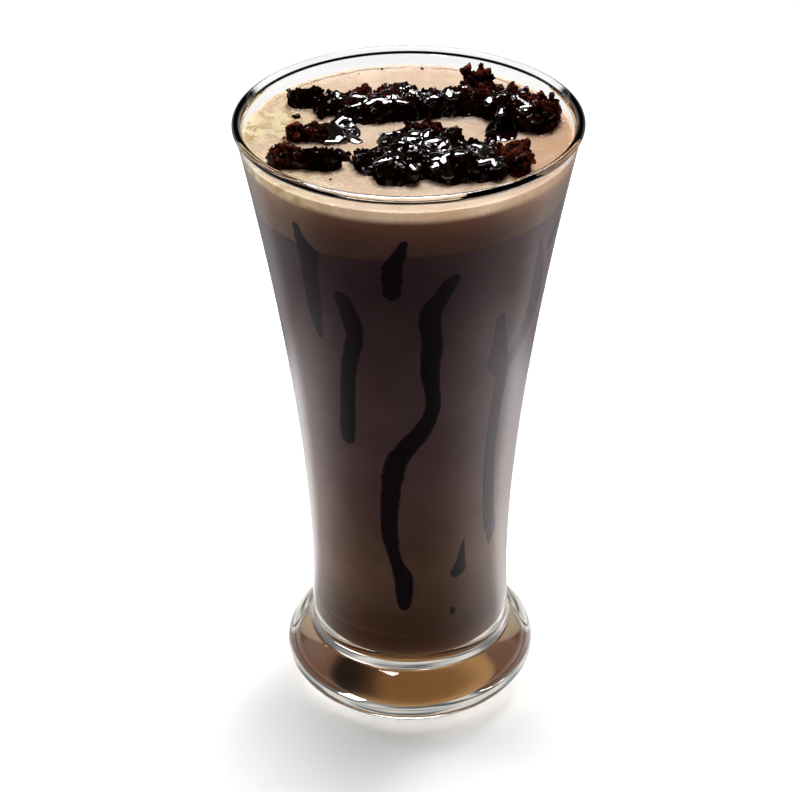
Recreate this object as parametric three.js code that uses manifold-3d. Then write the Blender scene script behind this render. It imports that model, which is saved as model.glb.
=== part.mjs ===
// A chocolate milkshake in its tall flared glass, with brownie pieces on the froth.
// Millimetres, +Z up. The origin is the centre of the foot's underside, and -Y is the front.
import * as THREE from 'three';
import { mergeVertices } from 'three/addons/utils/BufferGeometryUtils.js';
import Module from 'manifold-3d';

const wasm = await Module();
wasm.setup();

// Glass
const GLASS_HEIGHT = 163.6;
const RIM_RADIUS = 42; // outermost point of the round rim
const BEAD_RADIUS = 0.95; // half the thickness of the round rim
const BEAD_NECK = 2.1; // the wall ends this far below the rim's top
const WALL_AT_RIM = 1.7;
const WALL_AT_WAIST = 2.5;
const WAIST_RADIUS = 25.9;
const WAIST_HEIGHT = 28; // the body widens above this height
const FLARE_POWER = 1.39;
const FLARE_LEAN = 0.9; // share of a straight cone taken off the power curve
const FOOT_RADIUS = 32.9;
const FOOT_WIDEST_HEIGHT = 9.5;
const FOOT_BULGE_HEIGHT = 24.9; // half height of the ellipse that rounds the foot
const FOOT_BULGE_WIDTH = 115.6; // half width of the same ellipse
const FOOT_EDGE_HEIGHT = 0.5; // the foot's rounding starts this far above the table
const FOOT_SHOULDER_HEIGHT = 17.6; // the bulge ends here
const COVE_HEIGHT = 2.4; // rounding between foot and waist
const COVE_SHARPNESS = 0.35; // how low the rounding's control point lies, as a share of it
const CAVITY_FLOOR = 14;
const BOWL_DEPTH = 13; // the cavity's round bottom, from its floor to the straight wall

// Drink
const GAP = 0.3; // between pieces that touch
const LAYER_HEIGHT = 146; // where froth meets milkshake, on the axis
const FROTH_HEIGHT = 158.5; // top of the froth, on the axis
const MENISCUS_WIDTH = 3;
const MENISCUS_RISE = 0.6;
const SYRUP_THICKNESS = 1.2;
const WALL_CLEARANCE = 0.7; // between a brownie piece and the glass

// Facets
const GLASS_SIDES = 48;
const DRINK_SIDES = 36;

// Syrup runs on the inside of the wall, from top to bottom. Each station is its height,
// its angle from the front in degrees (right is positive) and the run's width there.
const SYRUP_RUNS = [
  { name: 'syrup_run_1', paths: [
    [[150.6, -43.4, 0.8], [146.5, -42.2, 3], [143.5, -39.7, 7.5], [137.9, -40.5, 6.3],
      [130.7, -41, 5.6], [123.5, -41.4, 4.3], [117.4, -40.4, 1]],
  ] },
  { name: 'syrup_run_2', paths: [
    [[133.9, -27.5, 1], [128.8, -25.1, 5.5], [121.1, -23.2, 5.4], [110.8, -27.6, 4.9],
      [100.4, -30.1, 4.8], [89.5, -32.1, 4.8], [86.4, -32.2, 2.4]],
  ] },
  { name: 'syrup_run_3', paths: [
    [[151.8, -1, 0.6], [146.3, -3.8, 4.3], [143.8, -5.8, 5.7], [139.2, -6.3, 5.7], [135.1, -6.5, 4.9],
      [133.2, -6.6, 2.4]],
  ] },
  { name: 'syrup_run_4', paths: [
    [[140.7, 17, 0.8], [135.6, 13.7, 5.5], [128.9, 8.5, 6.3], [119.6, 9.6, 6.1], [111.4, 9.2, 5.4],
      [101, 11.1, 4.1], [94.8, 7.5, 5.7], [90.5, 2.3, 7.1], [82.9, -7, 6.6], [71.9, -10.5, 5.4],
      [60.4, -11.6, 4.9], [52.1, -8.6, 3.8], [46.3, -4.1, 5.3], [38.5, -3.5, 4.4], [35.2, -3.5, 2]],
  ] },
  { name: 'syrup_run_5', paths: [
    [[125.6, 40.3, 0.8], [115.8, 42.5, 5.5], [109.6, 43.5, 7.5], [103.9, 47.5, 5.5], [94.6, 46.7, 4.5],
      [78, 47, 4.2], [59.1, 51.9, 4.9], [54.4, 54.6, 4.7], [49.6, 54.3, 0.9]],
    [[141.6, 57.8, 0.9], [131.4, 61.9, 5.3], [122.2, 64.3, 7.7], [115.1, 60.7, 7.1], [108.5, 52.9, 5.7],
      [105.5, 48.4, 3]],
  ] },
  { name: 'syrup_run_6', paths: [
    [[144, 72.7, 1], [140.2, 71, 5.1], [137.3, 68.5, 3.7], [135.4, 66.7, 1]],
  ] },
  { name: 'syrup_run_7', paths: [
    [[55.6, 32.9, 0.5], [49.6, 31.6, 2.8], [46, 30, 5.1], [43.9, 29.2, 2.6]],
  ] },
  { name: 'syrup_drop', paths: [
    [[34.7, 26.8, 0.9], [33.4, 26.8, 1.9], [32.2, 26.8, 0.9]],
  ] },
];

// Brownie pieces. Each is one or more rough lumps grown together: centre, size and turn in
// plan, the height of the top, and how far the lump leans down towards its left end.
const BROWNIES = [
  { name: 'brownie_left_slab', roughness: 0.35, lumps: [
    { x: -24, y: -16.4, width: 17.8, depth: 5.1, top: 163.9, turn: -10, lean: 4 },
  ] },
  { name: 'brownie_left_crumb', roughness: 0.8, lumps: [
    { x: -24, y: -2.9, width: 11.5, depth: 5.3, top: 162.5, turn: 2, lean: 5 },
    { x: -18, y: -1.1, width: 6.1, depth: 8.9, top: 161.1, turn: 0, lean: 0 },
  ] },
  { name: 'brownie_back_left', roughness: 0.5, lumps: [
    { x: -25.2, y: 16.5, width: 9.7, depth: 4.6, top: 163.3, turn: 4, lean: 0 },
  ] },
  { name: 'brownie_back_middle', roughness: 0.9, lumps: [
    { x: -18.2, y: 12.5, width: 8.5, depth: 8.2, top: 163.3, turn: 14, lean: 0 },
    { x: -10.7, y: 12, width: 11.1, depth: 12.7, top: 163.8, turn: -6, lean: 0 },
    { x: -2.4, y: 11.8, width: 10.3, depth: 12.7, top: 164, turn: 10, lean: 0 },
    { x: 4.6, y: 12.7, width: 8.1, depth: 11.2, top: 163.2, turn: -8, lean: 0 },
  ] },
  { name: 'brownie_back_right', roughness: 0.9, lumps: [
    { x: 12.1, y: 13.7, width: 9.7, depth: 8.2, top: 164.3, turn: 6, lean: 0 },
    { x: 19.2, y: 12.9, width: 9.1, depth: 12, top: 165.4, turn: -16, lean: 0 },
    { x: 25.5, y: 8.2, width: 10.1, depth: 13.3, top: 165.2, turn: -24, lean: 0 },
    { x: 30.9, y: 5.5, width: 9.1, depth: 11.4, top: 164.8, turn: -32, lean: 0 },
    { x: 14.9, y: 17.8, width: 4.8, depth: 3.8, top: 167.9, turn: -10, lean: 0 },
    { x: 18.6, y: 17.8, width: 4, depth: 4, top: 167.7, turn: 20, lean: 0 },
  ] },
  { name: 'brownie_front', roughness: 0.9, lumps: [
    { x: -8.1, y: -16.3, width: 9.7, depth: 9.9, top: 162.3, turn: 14, lean: 0 },
    { x: -1.2, y: -16.2, width: 13.3, depth: 18.1, top: 164.2, turn: -5, lean: 0 },
    { x: 8.8, y: -15.5, width: 12.5, depth: 19.6, top: 164.5, turn: 6, lean: 0 },
    { x: 17.4, y: -18.2, width: 11.5, depth: 14.8, top: 164.4, turn: -4, lean: 0 },
    { x: 4.2, y: -3.2, width: 9.7, depth: 11, top: 162.5, turn: 8, lean: 0 },
  ] },
  { name: 'brownie_front_right', roughness: 0.35, lumps: [
    { x: 25.5, y: -17.3, width: 6.7, depth: 11.8, top: 165, turn: 6, lean: -6 },
  ] },
];
const BROWNIE_SINK = 2.6; // how deep the pieces lie in the froth
const LUMP_FACET = 3.15; // side of a lump's facets
const LUMP_SQUARENESS = 3.6; // power of the superellipsoid that rounds a lump's edges
const LUMP_WARP = 1.6; // how far a lump's form is pulled out of true
const LUMP_CRUMB = 2.2; // height of the bumps on a lump
const SEAM_TOLERANCE = 0.15; // slivers thinner than this are taken out where solids meet

// Colours
const GLASS_LOOK = { color: 0xf2f6f6, roughness: 0.05, metalness: 0 };
const MILKSHAKE_LOOK = { color: 0x6b544c, roughness: 0.55, metalness: 0 };
const FROTH_LOOK = { color: 0xd9bd97, roughness: 0.75, metalness: 0 };
const SYRUP_LOOK = { color: 0x221417, roughness: 0.25, metalness: 0 };
const BROWNIE_LOOK = { color: 0x2a120c, roughness: 0.6, metalness: 0 };

// Reduce a geometry to closed, shared vertices
function welded(geometry) {
  geometry.deleteAttribute('normal');
  geometry.deleteAttribute('uv');
  const merged = mergeVertices(geometry);
  const corners = merged.index.array;
  const kept = [];
  for (let i = 0; i < corners.length; i += 3) {
    const [a, b, c] = [corners[i], corners[i + 1], corners[i + 2]];
    if (a !== b && b !== c && c !== a) kept.push(a, b, c);
  }
  merged.setIndex(kept);
  return merged;
}

function toSolid(geometry) {
  const vertProperties = new Float32Array(geometry.attributes.position.array);
  const triVerts = new Uint32Array(geometry.index.array);
  return new wasm.Manifold(new wasm.Mesh({ numProp: 3, vertProperties, triVerts }));
}

function toGeometry(solid) {
  const { vertProperties, triVerts } = solid.getMesh();
  const geometry = new THREE.BufferGeometry();
  geometry.setAttribute('position', new THREE.BufferAttribute(vertProperties, 3));
  geometry.setIndex(new THREE.BufferAttribute(triVerts, 1));
  geometry.computeVertexNormals();
  return geometry;
}

// Move every vertex of a geometry with a function of its place
function reshaped(geometry, move) {
  const places = geometry.attributes.position;
  const place = new THREE.Vector3();
  for (let i = 0; i < places.count; i += 1) {
    place.fromBufferAttribute(places, i);
    move(place);
    places.setXYZ(i, place.x, place.y, place.z);
  }
  return geometry;
}

// A solid of revolution about Z from a profile that starts and ends on the axis
function turnedSolid(profile, sides) {
  return welded(new THREE.LatheGeometry(profile, sides).rotateX(Math.PI / 2));
}

function seededRandom(seed) {
  let state = seed;
  return () => {
    state = (state * 1664525 + 1013904223) % 4294967296;
    return state / 4294967296;
  };
}

// Smooth noise between -1 and 1, from random values on a lattice
function latticeNoise(seed) {
  const random = seededRandom(seed);
  const values = Array.from({ length: 512 }, () => 2 * random() - 1);
  const valueAt = (i, j, k) => values[(i * 73 + j * 179 + k * 283) & 511];
  const ease = (t) => t * t * (3 - 2 * t);
  return (x, y, z) => {
    const [i, j, k] = [Math.floor(x), Math.floor(y), Math.floor(z)];
    const [u, v, w] = [ease(x - i), ease(y - j), ease(z - k)];
    const mix = THREE.MathUtils.lerp;
    const edge = (dj, dk) => mix(valueAt(i, j + dj, k + dk), valueAt(i + 1, j + dj, k + dk), u);
    return mix(mix(edge(0, 0), edge(1, 0), v), mix(edge(0, 1), edge(1, 1), v), w);
  };
}

// Outer radius of the glass's body above the foot
function outerRadius(z) {
  const rise = THREE.MathUtils.clamp((z - WAIST_HEIGHT) / (GLASS_HEIGHT - WAIST_HEIGHT), 0, 1);
  const widening = (1 + FLARE_LEAN) * rise ** FLARE_POWER - FLARE_LEAN * rise;
  return WAIST_RADIUS + (RIM_RADIUS - 0.3 - WAIST_RADIUS) * widening;
}

function innerRadius(z) {
  const fall = THREE.MathUtils.clamp((GLASS_HEIGHT - z) / (GLASS_HEIGHT - WAIST_HEIGHT), 0, 1);
  return outerRadius(z) - THREE.MathUtils.lerp(WALL_AT_RIM, WALL_AT_WAIST, fall);
}

function footRadius(z) {
  const rise = (z - FOOT_WIDEST_HEIGHT) / FOOT_BULGE_HEIGHT;
  return FOOT_RADIUS - FOOT_BULGE_WIDTH * (1 - Math.sqrt(1 - rise * rise));
}

// Half profile of the cavity, from the axis up to a given height
function cavityProfile(top, inset, wallSteps, bowlSteps) {
  const points = [];
  const wallFoot = CAVITY_FLOOR + BOWL_DEPTH;
  const radius = innerRadius(wallFoot);
  for (let i = 0; i < bowlSteps; i += 1) {
    const angle = (i / bowlSteps) * (Math.PI / 2);
    points.push(new THREE.Vector2(
      (radius - inset) * Math.sin(angle),
      wallFoot - (BOWL_DEPTH - inset) * Math.cos(angle),
    ));
  }
  for (let i = 0; i <= wallSteps; i += 1) {
    const z = THREE.MathUtils.lerp(wallFoot, top, i / wallSteps);
    points.push(new THREE.Vector2(innerRadius(z) - inset, z));
  }
  return points;
}

function footProfile() {
  const points = [new THREE.Vector2(0, 0)];
  points.push(new THREE.Vector2(footRadius(FOOT_EDGE_HEIGHT) - FOOT_EDGE_HEIGHT, 0));
  const steps = 9;
  for (let i = 0; i <= steps; i += 1) {
    const z = THREE.MathUtils.lerp(FOOT_EDGE_HEIGHT, FOOT_SHOULDER_HEIGHT, i / steps);
    points.push(new THREE.Vector2(footRadius(z), z));
  }
  const start = points[points.length - 1];
  const cove = new THREE.QuadraticBezierCurve(
    start,
    new THREE.Vector2(WAIST_RADIUS + 0.1, FOOT_SHOULDER_HEIGHT + COVE_SHARPNESS * COVE_HEIGHT),
    new THREE.Vector2(WAIST_RADIUS, FOOT_SHOULDER_HEIGHT + COVE_HEIGHT),
  );
  points.push(...cove.getPoints(3).slice(1));
  return points;
}

function beadProfile() {
  const points = [];
  const centre = new THREE.Vector2(RIM_RADIUS - BEAD_RADIUS, GLASS_HEIGHT - BEAD_RADIUS);
  for (let degrees = -30; degrees <= 210; degrees += 30) {
    const angle = THREE.MathUtils.degToRad(degrees);
    points.push(new THREE.Vector2(
      centre.x + BEAD_RADIUS * Math.cos(angle),
      centre.y + BEAD_RADIUS * Math.sin(angle),
    ));
  }
  return points;
}

// The glass: thick round foot, waist, widening wall, round rim and an open cavity
function glassGeometry() {
  const profile = footProfile();
  const wallFoot = profile[profile.length - 1].y;
  const wallTop = GLASS_HEIGHT - BEAD_NECK;
  const steps = 7;
  for (let i = 1; i <= steps; i += 1) {
    const z = THREE.MathUtils.lerp(wallFoot, wallTop, i / steps);
    profile.push(new THREE.Vector2(outerRadius(z), z));
  }
  profile.push(...beadProfile());
  profile.push(...cavityProfile(wallTop, 0, 6, 5).reverse());
  return turnedSolid(profile, GLASS_SIDES);
}

// Height of the uneven surface between milkshake and froth: higher at the right
function layerHeight(x, y) {
  const angle = Math.atan2(x, -y);
  const share = Math.min(Math.hypot(x, y) / innerRadius(LAYER_HEIGHT), 1);
  const ripple = 0.45 * Math.sin(5 * angle + 0.8) + 0.3 * Math.sin(9 * angle + 2);
  return LAYER_HEIGHT + share * (1.8 * Math.sin(angle) - 0.4 * Math.cos(angle) + ripple);
}

// Height of the froth's top: lumpy, and climbing a little at the wall
const frothNoise = latticeNoise(31);
function frothHeight(x, y) {
  const wall = innerRadius(FROTH_HEIGHT) - GAP;
  const toWall = Math.max(wall - Math.hypot(x, y), 0);
  const climb = MENISCUS_RISE * Math.exp(-((toWall / MENISCUS_WIDTH) ** 2) * 3);
  return FROTH_HEIGHT + climb + 0.3 * frothNoise(x / 7, y / 7, 0);
}

// Rings of the profile on the axis side, for a top or underside that isn't flat
function ringsInwards(radius, height, count) {
  const rings = [];
  for (let i = 1; i <= count; i += 1) {
    rings.push(new THREE.Vector2(radius * (1 - i / count), height));
  }
  return rings;
}

function milkshakeSolid() {
  const profile = cavityProfile(LAYER_HEIGHT, GAP, 7, 5);
  profile.push(...ringsInwards(profile[profile.length - 1].x, LAYER_HEIGHT, 3));
  const body = turnedSolid(profile, DRINK_SIDES);
  return toSolid(reshaped(body, (place) => {
    if (place.z < LAYER_HEIGHT - 0.01) return;
    place.z = layerHeight(place.x, place.y);
    fitToWall(place, LAYER_HEIGHT);
  }));
}

// Keep a point of an uneven layer's edge at the same gap from the widening wall
function fitToWall(place, flatHeight) {
  const ratio = (innerRadius(place.z) - GAP) / (innerRadius(flatHeight) - GAP);
  place.x *= ratio;
  place.y *= ratio;
}

function frothSolid() {
  const underside = LAYER_HEIGHT + GAP;
  const edge = innerRadius(underside) - GAP;
  const middle = (underside + FROTH_HEIGHT) / 2;
  const profile = ringsInwards(edge, underside, 3).reverse();
  profile.push(
    new THREE.Vector2(edge, underside),
    new THREE.Vector2(innerRadius(middle) - GAP, middle),
    new THREE.Vector2(innerRadius(FROTH_HEIGHT) - GAP, FROTH_HEIGHT),
    ...ringsInwards(innerRadius(FROTH_HEIGHT) - GAP, FROTH_HEIGHT, 8),
  );
  const body = turnedSolid(profile, DRINK_SIDES);
  return toSolid(reshaped(body, (place) => {
    if (Math.abs(place.z - FROTH_HEIGHT) < 0.01) {
      place.z = frothHeight(place.x, place.y);
      fitToWall(place, FROTH_HEIGHT);
    } else if (Math.abs(place.z - underside) < 0.01) {
      place.z = layerHeight(place.x, place.y) + GAP;
      fitToWall(place, underside);
    }
  }));
}

// A syrup run laid on the inside of the wall: a thin slab whose rows follow the stations
function runSolid(stations, growth) {
  const route = new THREE.CatmullRomCurve3(stations.map((station, i) => {
    const ends = { 0: growth, [stations.length - 1]: -growth };
    return new THREE.Vector3(station[0] + (ends[i] ?? 0), station[1], station[2] + 2 * growth);
  }), false, 'centripetal');
  const rows = 2 * (stations.length - 1);
  const outward = growth > 0 ? 1 : 0;
  const slab = welded(new THREE.BoxGeometry(1, 1, 1, 1, rows, 1));
  return toSolid(reshaped(slab, (place) => {
    const station = route.getPoint(0.5 - place.y);
    const wall = innerRadius(station.x) - GAP;
    const angle = THREE.MathUtils.degToRad(station.y) + (place.x * station.z) / wall;
    const radius = place.z > 0 ? wall + outward : wall - SYRUP_THICKNESS - growth;
    place.set(radius * Math.sin(angle), -radius * Math.cos(angle), station.x);
  }));
}

function joined(solids) {
  return solids.reduce((whole, solid) => whole.add(solid));
}

function syrupSolid(run, growth) {
  return joined(run.paths.map((stations) => runSolid(stations, growth)));
}

// One rough lump: a block with rounded edges and a crumbly surface
function lumpSolid(lump, seed, roughness, growth) {
  const bottom = frothHeight(lump.x, lump.y) - BROWNIE_SINK;
  const size = [lump.width, lump.depth, lump.top - bottom];
  const facets = size.map((length) => Math.max(2, Math.round(length / LUMP_FACET)));
  const noise = latticeNoise(seed);
  const block = welded(new THREE.BoxGeometry(...size, ...facets));
  reshaped(block, (place) => {
    const unit = [place.x / size[0], place.y / size[1], place.z / size[2]];
    const power = unit.reduce((sum, part) => sum + Math.abs(2 * part) ** LUMP_SQUARENESS, 0);
    place.divideScalar(power ** (1 / LUMP_SQUARENESS));
    const { x, y, z } = place;
    const warp = LUMP_WARP * noise(x / 6, y / 6, z / 6);
    const crumb = LUMP_CRUMB * noise(x / 2.1, y / 2.1, z / 2.1);
    place.addScaledVector(place.clone().normalize(), roughness * (warp + crumb));
  });
  block.computeVertexNormals();
  const normals = block.attributes.normal;
  const places = block.attributes.position;
  for (let i = 0; i < places.count; i += 1) {
    const place = new THREE.Vector3().fromBufferAttribute(places, i);
    place.addScaledVector(new THREE.Vector3().fromBufferAttribute(normals, i), growth);
    places.setXYZ(i, place.x, place.y, place.z);
  }
  block.deleteAttribute('normal');
  block.rotateY(THREE.MathUtils.degToRad(-lump.lean));
  block.rotateZ(THREE.MathUtils.degToRad(lump.turn));
  block.translate(lump.x, lump.y, bottom + size[2] / 2);
  return toSolid(block);
}

function brownieSolid(piece, index, growth) {
  const lumps = piece.lumps.map((lump, i) => (
    lumpSolid(lump, 100 * (index + 1) + i, piece.roughness, growth)
  ));
  return joined(lumps);
}

// The space inside the wall that a brownie piece may fill
function clearSpace() {
  const top = GLASS_HEIGHT - BEAD_RADIUS;
  const profile = cavityProfile(top, WALL_CLEARANCE, 4, 3);
  const above = top + 3 * BROWNIE_SINK;
  profile.push(new THREE.Vector2(innerRadius(top) - WALL_CLEARANCE, above));
  profile.push(new THREE.Vector2(0, above));
  return toSolid(turnedSolid(profile, DRINK_SIDES));
}

function piece(name, geometry, look) {
  const mesh = new THREE.Mesh(geometry, new THREE.MeshStandardMaterial(look));
  mesh.name = name;
  return mesh;
}

function buildMilkshake() {
  const group = new THREE.Group();
  const syrupGrooves = joined(SYRUP_RUNS.map((run) => syrupSolid(run, GAP)));
  const milkshake = milkshakeSolid().subtract(syrupGrooves);
  const space = clearSpace();
  let froth = frothSolid().subtract(syrupGrooves);
  const brownies = [];
  BROWNIES.forEach((spec, index) => {
    const taken = brownies.map((other) => other.room);
    let solid = brownieSolid(spec, index, 0).intersect(space);
    taken.forEach((room) => { solid = solid.subtract(room); });
    solid = solid.simplify(SEAM_TOLERANCE);
    brownies.push({ solid, room: brownieSolid(spec, index, GAP), name: spec.name });
  });
  brownies.forEach(({ room }) => { froth = froth.subtract(room); });
  froth = froth.simplify(SEAM_TOLERANCE);
  group.add(piece('glass', glassGeometry(), GLASS_LOOK));
  group.add(piece('milkshake', toGeometry(milkshake), MILKSHAKE_LOOK));
  group.add(piece('froth', toGeometry(froth), FROTH_LOOK));
  SYRUP_RUNS.forEach((run) => {
    group.add(piece(run.name, toGeometry(syrupSolid(run, 0)), SYRUP_LOOK));
  });
  brownies.forEach(({ name, solid }) => {
    group.add(piece(name, toGeometry(solid), BROWNIE_LOOK));
  });
  return group;
}

export default buildMilkshake();
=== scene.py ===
# A chocolate milkshake in its tall flared glass, with brownie pieces on the froth.
# The frame is in metres, +Z up, with its origin at the centre of the foot's underside and
# -Y as the front. Sizes below are in millimetres, and add_mesh turns them into metres.
import math

import bmesh
import bpy
import numpy as np
from mathutils import Matrix, Quaternion, Vector, kdtree, noise
from mathutils.bvhtree import BVHTree


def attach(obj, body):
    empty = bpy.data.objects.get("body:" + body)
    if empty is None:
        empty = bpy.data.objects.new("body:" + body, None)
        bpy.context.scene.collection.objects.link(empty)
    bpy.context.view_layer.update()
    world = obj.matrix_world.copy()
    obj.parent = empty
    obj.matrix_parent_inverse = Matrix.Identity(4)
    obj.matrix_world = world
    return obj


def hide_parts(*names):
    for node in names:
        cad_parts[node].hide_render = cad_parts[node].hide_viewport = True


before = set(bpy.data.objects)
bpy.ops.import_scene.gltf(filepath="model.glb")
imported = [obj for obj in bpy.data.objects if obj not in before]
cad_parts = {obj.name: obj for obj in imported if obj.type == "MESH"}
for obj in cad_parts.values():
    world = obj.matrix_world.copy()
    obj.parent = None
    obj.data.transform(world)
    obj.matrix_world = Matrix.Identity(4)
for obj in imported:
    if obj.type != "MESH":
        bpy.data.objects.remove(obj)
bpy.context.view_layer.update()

MM = 0.001

# Glass
GLASS_HEIGHT = 163.6
RIM_RADIUS = 42
BEAD_RADIUS = 0.95
BEAD_NECK = 2.1  # the wall ends this far below the rim's top
WALL_AT_RIM = 1.7
WALL_AT_WAIST = 2.5
WAIST_RADIUS = 25.9
WAIST_HEIGHT = 28
FLARE_POWER = 1.39
FLARE_LEAN = 0.9
FOOT_RADIUS = 32.9
FOOT_WIDEST_HEIGHT = 9.5
FOOT_BULGE_HEIGHT = 24.9
FOOT_BULGE_WIDTH = 115.6
FOOT_EDGE_HEIGHT = 0.5
FOOT_SHOULDER_HEIGHT = 17.6
COVE_HEIGHT = 2.4
COVE_SHARPNESS = 0.35
CAVITY_FLOOR = 14
BOWL_DEPTH = 13

# Drink
LAYER_HEIGHT = 146
FROTH_HEIGHT = 158.5
MENISCUS_WIDTH = 3
MENISCUS_RISE = 0.6
DRINK_REACH = 0.1  # how far the drink's skin reaches into the wall
FROTH_REACH = 0.13
SYRUP_REACH = 0.16
SYRUP_SKIN = 0.12  # how far a streak's edge lies inside the wall
SYRUP_THICKNESS = 1.2
LAYER_OVERLAP = 0.25  # how far the froth reaches into the milkshake
FROTH_CLIMB = 0.55  # how far the froth rises at the brownie
FROTH_CLIMB_WIDTH = 0.9

GLASS_SIDES = 256
DRINK_SIDES = 420

# Syrup runs: how much the drink veils each one, and its stations, which are height, angle
# from the front in degrees and width
SYRUP_RUNS = [
    ("syrup_run_1", 0.12, [
        [(150.6, -43.4, 2.4), (146.5, -42.2, 4.1), (143.5, -39.7, 7.5), (137.9, -40.5, 6.3),
         (130.7, -41, 5.6), (123.5, -41.4, 4.3), (117.4, -40.4, 1)],
    ]),
    ("syrup_run_2", 0.1, [
        [(133.9, -27.5, 4.5), (128.8, -25.1, 5.7), (121.1, -23.2, 5.4), (110.8, -27.6, 4.9),
         (100.4, -30.1, 4.8), (89.5, -32.1, 4.8), (86.4, -32.2, 2.4)],
    ]),
    ("syrup_run_3", 0.05, [
        [(150.9, -1.4, 2), (146.3, -3.8, 4.5), (143.8, -5.8, 5.7), (139.2, -6.3, 5.7),
         (135.1, -6.5, 4.9), (133.2, -6.6, 2.4)],
    ]),
    ("syrup_run_4", 0.05, [
        [(140.2, 17.4, 4.1), (135.6, 13.9, 5.7), (128.9, 8.5, 6.3), (119.6, 9.6, 6.1),
         (111.4, 9.2, 5.4), (101, 11.1, 4.1), (94.8, 7.5, 5.7), (90.5, 2.3, 7.1), (82.9, -7, 6.6),
         (71.9, -10.5, 5.4), (60.4, -11.6, 4.9), (52.1, -8.6, 3.8), (46.3, -4.1, 5.3),
         (38.5, -3.5, 4.4), (35.2, -3.5, 2)],
    ]),
    ("syrup_run_5", 0.3, [
        [(124.6, 40.7, 2.6), (115.8, 42.5, 5.5), (109.6, 43.5, 7.5), (103.9, 47.5, 5.5),
         (94.6, 46.7, 4.5), (78, 47, 4.2), (59.1, 51.9, 4.9), (54.4, 54.6, 4.7), (49.6, 54.3, 0.9)],
        [(141.6, 57.8, 0.9), (131.4, 61.9, 5.3), (122.2, 64.3, 7.7), (115.1, 60.7, 7.1),
         (108.5, 52.9, 5.7), (105.5, 48.4, 3)],
    ]),
    ("syrup_run_6", 0.4, [
        [(144, 72.7, 1), (140.2, 71, 5.1), (137.3, 68.5, 3.7), (135.4, 66.7, 1)],
    ]),
    ("syrup_run_7", 0.05, [
        [(55.6, 32.9, 0.5), (49.6, 31.6, 2.8), (46, 30, 5.1), (43.9, 29.2, 2.6)],
    ]),
    ("syrup_drop", 0.05, [
        [(34.7, 26.8, 0.9), (33.4, 26.8, 1.9), (32.2, 26.8, 0.9)],
    ]),
]

# Brownie pieces: how far the crumbly surface starts outside the plain one, and how rough it is
BROWNIES = {
    "brownie_left_slab": (-0.95, 0.5),
    "brownie_left_crumb": (-1.15, 1),
    "brownie_back_left": (-0.25, 0.55),
    "brownie_back_middle": (-1.0, 0.85),
    "brownie_back_right": (-1.4, 1),
    "brownie_front": (-1.2, 0.85),
    "brownie_front_right": (-1.15, 0.7),
}

# Places in plan where the brownie swells or shrinks: how far that reaches and by how much
SWELLS = [
    (-4, -27, 4.5, 1.7), (4, -28, 4.5, 1.7), (13, -28, 4.5, 2.2), (-8.5, -27, 3, 1.5),
    (-31.5, -16.5, 3, 1.2), (-27, -22, 5, 1.1), (-28.5, -2, 2.5, 0.8), (-20, 8.5, 3.5, -1.3),
    (4.2, 2.5, 4, -1.3), (-10, -10.5, 3, -1), (12.3, 17.5, 2, -1.5), (-24, 18.5, 3.5, -0.7),
    (35, 4, 3, 0.9),
]

# Places in plan of the brownie's dry red-brown patches, and how far each reaches
DRY_SPOTS = [
    (16.2, 17.5, 6.5), (-24.2, -1.1, 7), (25.2, -17.3, 6), (-30.3, -14.4, 5), (31.3, 7.4, 6),
    (9.1, -2.1, 5), (-10.1, 15.9, 6),
]
BROWNIE_VOXEL = 0.3  # size of the brownie mesh's faces
GLAZE_VOXEL = 0.26
CRUMB_COUNT = 2600

# Crumbs that lie loose on the froth: place in plan and size
LOOSE_CRUMBS = [
    (-27.1, 10.3, 1.0), (-27.9, 10.8, 0.5), (-14.4, -13.3, 1.1), (-14.7, -11.8, 0.7),
    (-18, -23, 0.5), (-6.6, 37.2, 0.5), (3.6, 37.3, 0.45), (-12.6, 18.3, 0.6), (-8.1, 19.3, 0.5),
    (21.4, 3.2, 1.5), (20.4, -1, 1.4), (22.3, 0.4, 1.3), (18.8, -0.4, 0.9), (23.6, -2, 1),
    (24.6, 2.6, 1.2), (19.5, 2, 1.1), (-15.9, -13.3, 0.9), (-15.2, -11.4, 0.9), (-14.1, -9.6, 0.9),
    (-13.2, -14.9, 0.8),
]

# Lines in plan, from one end to the other, along which crumbs stand up like teeth
TOOTH_ROWS = [((-28, 17.5), (-22, 17)), ((-22, 15), (0, 15.5)), ((16, 17), (34, 7))]

# The tallest crumbs: place and size
TALL_CRUMBS = [
    (14.3, 17.8, 167.9, 1.3), (17.5, 17.5, 167.2, 1.4), (17.7, 17.5, 168.7, 0.9),
    (19.4, 17.7, 167, 1.3), (20, 17.2, 166, 1.1), (24.7, 11, 166.2, 1.2), (25.9, 10.5, 165.9, 1),
    (28.4, 9.5, 166, 1.1), (32, 7, 166.1, 1.2), (34.2, 5.5, 166.1, 1.3), (35, 3.5, 164, 1),
]

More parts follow.
